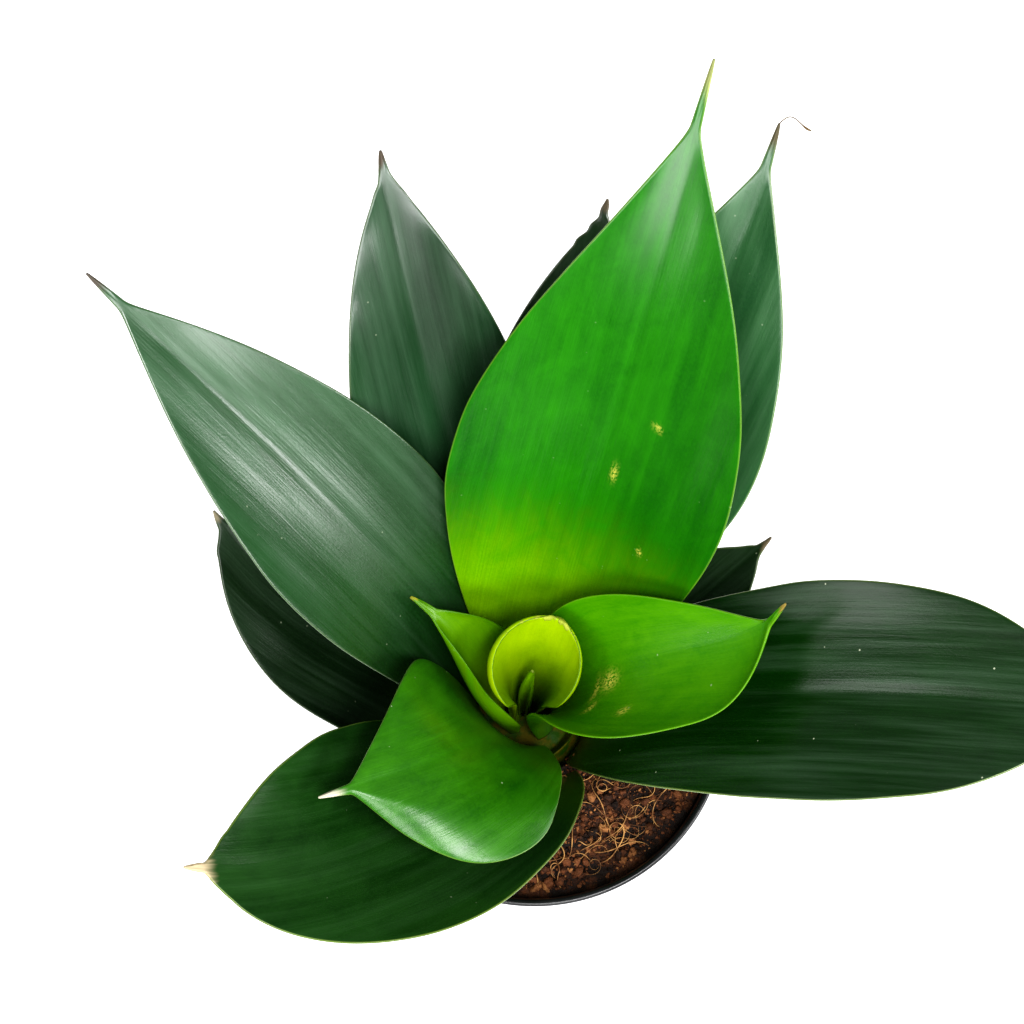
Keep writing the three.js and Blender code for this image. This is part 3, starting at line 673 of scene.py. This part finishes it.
def turned(profile, turns):
    """A profile (radius, height) that starts and ends on the axis, carried round it; poles closed."""
    ring = profile[1:-1]
    angle = np.arange(turns) * 2 * math.pi / turns
    points = np.stack([ring[:, :1] * np.cos(angle), ring[:, :1] * np.sin(angle),
                       np.broadcast_to(ring[:, 1:], (len(ring), turns))], -1).reshape(-1, 3)
    count = len(points)
    points = np.concatenate([points, [[0, 0, profile[0][1]], [0, 0, profile[-1][1]]]])
    faces = [*grid_faces(len(ring), turns, True)[:, ::-1].tolist(),
             *fan(np.arange(turns)[::-1], count).tolist(),
             *fan(np.arange(count - turns, count), count + 1).tolist()]
    return points, faces


def pot_radius(height):
    """Inside radius of the pot's tapered wall at a height, both in mm."""
    return POT_FOOT_RADIUS + POT_FLARE * height


# Radius and height in mm: up the outside, over the rolled rim, down the inside, back along the base.
POT_PROFILE = (
    (0, 0), (41.5, 0), (42.8, 0.6), (43.0, 1.8), (49.7, 47), (56.4, 91.6), (57.6, 92.0), (57.9, 93.0),
    (58.5, 102.4), (59.5, 102.8), (60.0, 103.9), (59.6, 104.8), (58.9, 105.0), (57.9, 104.7), (57.3, 103.4),
    (56.8, 94), (pot_radius(90), 90), (pot_radius(47), 47),
    (pot_radius(POT_BASE + POT_FILLET), POT_BASE + POT_FILLET),
    (pot_radius(POT_BASE + POT_FILLET) - POT_FILLET, POT_BASE), (0, POT_BASE))
POT_CORNER = 0.7              # mm, where each corner's curve starts
POT_TURNS = 168
DRAIN_HOLES = 8
DRAIN_RING = 31               # mm from the pot's axis
DRAIN_RADIUS = 4              # mm


def pot_material():
    """Black moulded plastic: satin, with a faint dusty film and fine turning marks."""
    material, w, shader = plain_material("black plastic", specular=0.5)
    place = w.node("TexCoord").outputs["Object"]
    film = w.noise(place, (60, 60, 30), 4.0, 0.6)
    marks = w.noise(place, (90, 90, 1400), 2.0, 0.5)
    specks = w.noise(place, (900, 900, 900), 2.0, 0.5)
    dusty = w.blend(w.spread(film, 0.45, 0.8), shade(10, 11, 14), shade(30, 31, 34))
    w.feed(shader.inputs["Base Color"], dusty)
    w.feed(shader.inputs["Roughness"], w.add(0.20, w.times(film, 0.18)))
    bump(w, shader, w.add(w.times(marks, 0.03), w.times(specks, 0.02)))
    return material


def make_pot():
    """The pot is one turned profile with a rolled rim; round drain holes are cut through its base."""
    points, faces = turned(rounded(POT_PROFILE, POT_CORNER), POT_TURNS)
    pot = make_piece("nursery_pot", points, faces, pot_material(), "pot")
    angle = np.arange(DRAIN_HOLES) * 2 * math.pi / DRAIN_HOLES
    profile = np.array([(0, -3), (DRAIN_RADIUS, -3), (DRAIN_RADIUS, 6), (0, 6)], float)
    drill, drill_faces = turned(profile, 32)
    spots = np.stack([DRAIN_RING * np.cos(angle), DRAIN_RING * np.sin(angle), 0 * angle], -1)
    holes = (drill[None] + spots[:, None]).reshape(-1, 3)
    hole_faces = [[v + k * len(drill) for v in face] for k in range(DRAIN_HOLES) for face in drill_faces]
    mesh = bpy.data.meshes.new("drill")
    mesh.from_pydata((holes * MM).tolist(), [], hole_faces)
    cutter = bpy.data.objects.new("drill", mesh)
    bpy.context.scene.collection.objects.link(cutter)
    cut = pot.modifiers.new("drain holes", "BOOLEAN")
    cut.object, cut.operation, cut.solver = cutter, "DIFFERENCE", "EXACT"
    bpy.context.view_layer.update()
    finished = bpy.data.meshes.new_from_object(pot.evaluated_get(bpy.context.evaluated_depsgraph_get()))
    pot.modifiers.clear()
    pot.data = finished
    bpy.data.objects.remove(cutter)
    return pot


def soil_height(x, y):
    """Top of the coir: level plus noise of four sizes, lower at the wall and in the hole for the plant."""
    u, v = x + NOISE_SHIFT, y + NOISE_SHIFT
    rough = (lumps(u, v, 11.0, 5) + 0.7 * lumps(u, v, 4.5, 6) + 0.45 * lumps(u, v, 2.0, 7)
             + 0.25 * lumps(u, v, 1.0, 8))
    out = np.hypot(x, y)
    planting_hole = ease(np.hypot(x - PLANT_AXIS[0], y - PLANT_AXIS[1]), 22.5, 20)
    return SOIL_TOP - 0.4 + rough - 1.2 * ease(out, 48, 57) + 0.8 * ease(out, 40, 30) - 12 * planting_hole


def make_soil(material):
    """The soil is one closed surface: rings across the rough top, then down the wall and back to the axis."""
    turns, rings, clearance = 260, 70, 0.35
    radius = np.concatenate([np.linspace(1.0, SOIL_REACH - 0.1, rings), [SOIL_REACH]])
    angle = np.arange(turns) * 2 * math.pi / turns
    x, y = radius[:, None] * np.cos(angle), radius[:, None] * np.sin(angle)
    top = np.stack([x, y, soil_height(x, y)], -1)
    low = np.array([(56.3, 94), (55.3, 92), (54.5, 90),
                    *((pot_radius(h) - clearance, h) for h in (86, 60, 30, 5)), (30, SOIL_BASE)])
    wall = np.stack([low[:, :1] * np.cos(angle), low[:, :1] * np.sin(angle),
                     np.broadcast_to(low[:, 1:], (len(low), turns))], -1)
    ends = [[0, 0, float(soil_height(0.0, 0.0))], [0, 0, SOIL_BASE]]
    points = np.concatenate([np.concatenate([top, wall]).reshape(-1, 3), ends])
    faces = capped(len(radius) + len(low), turns)
    # The soil surface gets a lower tone than the crumbs on it, as painted shade in the gaps between them.
    tone = 0.16 + 0.20 * lumps(points[:, 0] + NOISE_SHIFT, points[:, 1] + NOISE_SHIFT, 3.0, 9)
    return make_piece("potting_soil", points, faces, material, "soil", {"tone": tone})


def ball(detail):
    """Points and triangles of a small round grain."""
    grain = bmesh.new()
    bmesh.ops.create_icosphere(grain, subdivisions=detail, radius=1.0)
    points = np.array([v.co for v in grain.verts])
    faces = np.array([[v.index for v in f.verts] for f in grain.faces])
    grain.free()
    return points, faces


def scatter(name, material, count, small, large, detail, seed):
    """Crumbs: round grains times a random size, stretch and lumpiness, each turned by a random quaternion and
    set on the rough top of the soil. Sizes are radii in mm."""
    rng = np.random.default_rng(seed)
    points, faces = ball(detail)
    away = (SOIL_REACH - 1.0 - large) * np.sqrt(rng.uniform(0.05, 1, count))
    angle = rng.uniform(0, 2 * math.pi, count)
    size = small + (large - small) * rng.uniform(0, 1, count) ** 2.2
    stretch = size[:, None] * rng.uniform(0.6, 1.25, (count, 3)) * (1, 1, 0.8)
    lumpy = 1 + 0.26 * rng.standard_normal((count, len(points), 1)) * (0.8 if detail == 1 else 1)
    turn = rng.standard_normal((count, 4))
    turn /= np.linalg.norm(turn, axis=1, keepdims=True)
    a, b, c, d = turn.T
    rotate = np.stack([np.stack([1 - 2 * (c * c + d * d), 2 * (b * c - a * d), 2 * (b * d + a * c)], -1),
                       np.stack([2 * (b * c + a * d), 1 - 2 * (b * b + d * d), 2 * (c * d - a * b)], -1),
                       np.stack([2 * (b * d - a * c), 2 * (c * d + a * b), 1 - 2 * (b * b + c * c)], -1)], 1)
    grains = np.einsum("nij,npj->npi", rotate, points[None] * stretch[:, None] * lumpy)
    x, y = away * np.cos(angle), away * np.sin(angle)
    place = np.stack([x, y, soil_height(x, y) + 0.35 * size], -1)
    tone = np.repeat(np.clip(rng.beta(1.3, 2.0, count), 0, 1), len(points))
    all_faces = (faces[None] + (np.arange(count) * len(points))[:, None, None]).reshape(-1, 3)
    all_points = (grains + place[:, None]).reshape(-1, 3)
    return make_piece(name, all_points, all_faces.tolist(), material, fields={"tone": tone})


def soil_material():
    """Moist coir: tone runs from near-black brown through red-brown to tan, broken up by fine noise."""
    material, w, shader = plain_material("coir soil", specular=0.3)
    place = w.node("TexCoord").outputs["Object"]
    fine = w.noise(place, (900, 900, 900), 4.0, 0.6)
    broad = w.noise(place, (120, 120, 120), 3.0, 0.5)
    tone = w.add(w.field("tone").outputs["Fac"], w.lean(fine, 0.5), w.lean(broad, 0.5), clamp=True)
    dark = w.blend(w.spread(tone, 0.05, 0.55), shade(24, 12, 6), shade(104, 60, 31))
    w.feed(shader.inputs["Base Color"], w.blend(w.spread(tone, 0.55, 0.98), dark, shade(170, 118, 70)))
    w.feed(shader.inputs["Roughness"], w.spread(fine, 0.3, 0.7, 0.62, 0.9))
    bump(w, shader, w.times(fine, 0.9))
    return material


def fibre_material():
    """Dry coir fibre: brown to straw along its length, by noise."""
    material, w, shader = plain_material("coir fibre", specular=0.3)
    place = w.node("TexCoord").outputs["Object"]
    mixed = w.noise(place, (260, 260, 260), 3.0, 0.5)
    straw = w.blend(w.spread(mixed, 0.35, 0.65), shade(96, 58, 29), shade(192, 146, 88))
    w.feed(shader.inputs["Base Color"], straw)
    w.feed(shader.inputs["Roughness"], w.spread(mixed, 0.3, 0.7, 0.5, 0.75))
    bump(w, shader, w.times(w.noise(place, (2500, 2500, 2500), 1.0), 0.05))
    return material


def make_fibres(material):
    """Coir fibres: thin tubes whose heading is a random start plus a curl that grows along them. Their
    middles are scattered over the soil, and they lie on it with low sine arches."""
    rng = np.random.default_rng(31)
    count, steps = 200, 24
    along = np.linspace(0, 1, steps)[None]
    length = rng.uniform(6, 26, (count, 1))
    curl = rng.normal(0, 2.2, (count, 1))
    curl = curl + 1.6 * np.sin(along * rng.uniform(2, 7, (count, 1)) + rng.uniform(0, 6, (count, 1)))
    curl[::9] *= 2.2
    heading = rng.uniform(0, 2 * math.pi, (count, 1)) + curl * along
    x = np.cumsum(np.cos(heading), 1) * length / steps
    y = np.cumsum(np.sin(heading), 1) * length / steps
    away, angle = 50 * np.sqrt(rng.uniform(0.12, 1, (count, 1))), rng.uniform(0, 2 * math.pi, (count, 1))
    centre = slice(steps // 2, steps // 2 + 1)
    x, y = x - x[:, centre] + away * np.cos(angle), y - y[:, centre] + away * np.sin(angle)
    shrink = np.minimum(1, FIBRE_REACH / np.maximum(np.hypot(x, y), 1e-6))
    x, y = x * shrink, y * shrink
    z = soil_height(x, y)
    arch = rng.uniform(0, 2.2, (count, 1)) * np.sin(math.pi * along)
    z = (z + np.roll(z, 1, 1) + np.roll(z, -1, 1)) / 3 + 0.9 + arch
    radius = (0.07 + 0.16 * rng.uniform(0, 1, (count, 1)) ** 2) * (1 - 0.5 * along ** 3)
    points, faces = tube(np.stack([x, y, z], -1), radius)
    return make_piece("soil_fibres", points, faces, material)


def make_crown():
    """The fleshy stem the leaves grow from: a low turned disc with a swelling between the front leaves, whose
    height falls off with the angle from its heading and with the distance from its ring."""
    profile = rounded([(0, 81.5), (22.6, 81.5), (23.6, 84.5), (22.4, 88.2), (19.2, 88.4), (17, 88.5),
                       (14.6, 88.4), (0, 88.4)], 1.2)
    points, faces = turned(profile, 120)
    swell_heading, swell_width, swell_ring, swell_rise = 275, 75, 17, 8.2
    away, angle = np.hypot(points[:, 0], points[:, 1]), np.arctan2(points[:, 1], points[:, 0])
    off = np.abs((angle / DEGREE - swell_heading + 180) % 360 - 180)
    swell = np.clip(1 - (off / swell_width) ** 4, 0, 1) * np.clip(1 - np.abs(away - swell_ring) / 2.6, 0, 1)
    swell = swell * (points[:, 2] > 86)
    points[:, 2] += swell_rise * swell + 0.3 * lumps(points[:, 0] + 50, points[:, 1] + 50, 2.5, 11)
    points[:, :2] += PLANT_AXIS
    material, w, shader = plain_material("crown flesh", specular=0.1)
    place = w.node("TexCoord").outputs["Object"]
    mixed = w.noise(place, (220, 220, 400), 4.0, 0.6)
    # The olive is brightened as painted light, making up for the shade the leaves cast on the crown.
    olive_with_painted_light = w.blend(w.spread(mixed, 0.35, 0.65), shade(40, 78, 4), shade(96, 86, 12))
    w.feed(shader.inputs["Base Color"], olive_with_painted_light)
    w.feed(shader.inputs["Roughness"], w.spread(mixed, 0.3, 0.7, 0.45, 0.7))
    bump(w, shader, w.times(mixed, 0.4))
    return make_piece("crown_flesh", points, faces, material, "crown")


def make_thread(tip):
    """The dry thread on the broken awn of leaf b: a thin tube along two sines, thicker near its far end."""
    along, reach = np.linspace(0, 1, 30), 8.4
    path = np.stack([tip[0] + reach * along, tip[1] + 1.5 * np.sin(along * 5.0) - 0.6 * along,
                     tip[2] + 1.8 * np.sin(along * 3.0)], -1)
    radius = 0.16 + 0.20 * np.exp(-((along - 0.86) / 0.12) ** 2)
    points, faces = tube(path[None], radius[None], 6)
    material, w, shader = plain_material("dry thread", roughness=0.7, specular=0.2)
    place = w.node("TexCoord").outputs["Object"]
    mixed = w.noise(place, (700, 700, 700), 2.0)
    w.feed(shader.inputs["Base Color"], w.blend(mixed, shade(52, 38, 22), shade(120, 96, 60)))
    bump(w, shader, w.times(mixed, 0.1))
    return make_piece("leaf_b_thread", points, faces, material)


# Studio

CAMERA_LENS = 100             # mm, on a 36 mm sensor
CAMERA_PLACE = (-0.00684, -0.1684, 0.9750)      # m
CAMERA_TILT = 15              # degrees from straight down
FLOOR_HALF = 6.0              # m
FLOOR_GLOW = 0.5
ROOM_LIGHT = 0.16
AIM_HEIGHT = 0.15             # m, where the lights face
# Each light: place in m, width and height in m, power in W.
SOFTBOXES = {
    "front_box": ((-0.1, -1.12, 1.02), 1.4, 0.55, 16),
    "right_box": ((1.2, -0.5, 0.85), 0.5, 0.5, 12),
    "top_box": ((0.3, -0.50, 1.6), 0.6, 0.4, 18),
    "left_box": ((-1.1, -0.25, 0.85), 0.6, 0.5, 3.5),
}


def make_camera():
    """Long lens 75 degrees above the floor, as the picture was taken."""
    data = bpy.data.cameras.new("picture_camera")
    data.lens, data.sensor_width, data.clip_start = CAMERA_LENS, 36, 0.05
    eye = bpy.data.objects.new("picture_camera", data)
    eye.location = CAMERA_PLACE
    eye.rotation_euler = (CAMERA_TILT * DEGREE, 0, 0)
    bpy.context.scene.collection.objects.link(eye)
    bpy.context.scene.camera = eye


def softbox(name, place, width, height, power):
    """A rectangular white light turned to face the plant."""
    data = bpy.data.lights.new(name, "AREA")
    data.shape, data.size, data.size_y, data.energy = "RECTANGLE", width, height, power
    lamp = bpy.data.objects.new(name, data)
    lamp.location = place
    away = np.array(place) - (0, 0, AIM_HEIGHT)
    lean, heading = math.acos(away[2] / np.linalg.norm(away)), math.atan2(away[1], away[0])
    lamp.rotation_euler = (lean, 0, heading + math.pi / 2)
    bpy.context.scene.collection.objects.link(lamp)


def make_studio():
    """Pale, faintly glowing floor, soft boxes in front, to both sides and above, and a dim even room."""
    mesh = bpy.data.meshes.new("studio_floor")
    corners = [(FLOOR_HALF * x, FLOOR_HALF * y, 0) for x, y in ((-1, -1), (1, -1), (1, 1), (-1, 1))]
    mesh.from_pydata(corners, [], [(0, 1, 2, 3)])
    material, _, shader = plain_material("studio floor", roughness=0.9, specular=0.1)
    shader.inputs["Base Color"].default_value = (0.97, 0.97, 0.97, 1)
    shader.inputs["Emission Color"].default_value = (1, 1, 1, 1)
    shader.inputs["Emission Strength"].default_value = FLOOR_GLOW
    mesh.materials.append(material)
    floor = bpy.data.objects.new("studio_floor", mesh)
    bpy.context.scene.collection.objects.link(floor)
    for name, (place, width, height, power) in SOFTBOXES.items():
        softbox(name, place, width, height, power)
    world = bpy.data.worlds.new("room")
    world.use_nodes = True
    world.node_tree.nodes["Background"].inputs["Color"].default_value = (1, 1, 1, 1)
    world.node_tree.nodes["Background"].inputs["Strength"].default_value = ROOM_LIGHT
    bpy.context.scene.world = world
    bpy.context.scene.view_settings.view_transform = "Standard"
    bpy.context.scene.view_settings.look = "Medium High Contrast"


make_camera()
make_studio()
make_pot()
coir = soil_material()
make_soil(coir)
scatter("soil_crumbs_coarse", coir, count=1500, small=0.5, large=1.9, detail=2, seed=3)
scatter("soil_crumbs_fine", coir, count=9000, small=0.25, large=0.8, detail=1, seed=4)
make_fibres(fibre_material())
make_crown()
skin_group = leaf_skin_group()
for number, key in enumerate(LEAVES, 1):
    blade_points, blade_faces, blade_fields = leaf_blade(key, number)
    make_piece("blade_" + key, blade_points, blade_faces, leaf_material(key, skin_group),
               "leaf_" + key, blade_fields)
    if key == "b":
        make_thread(blade_points[-1])
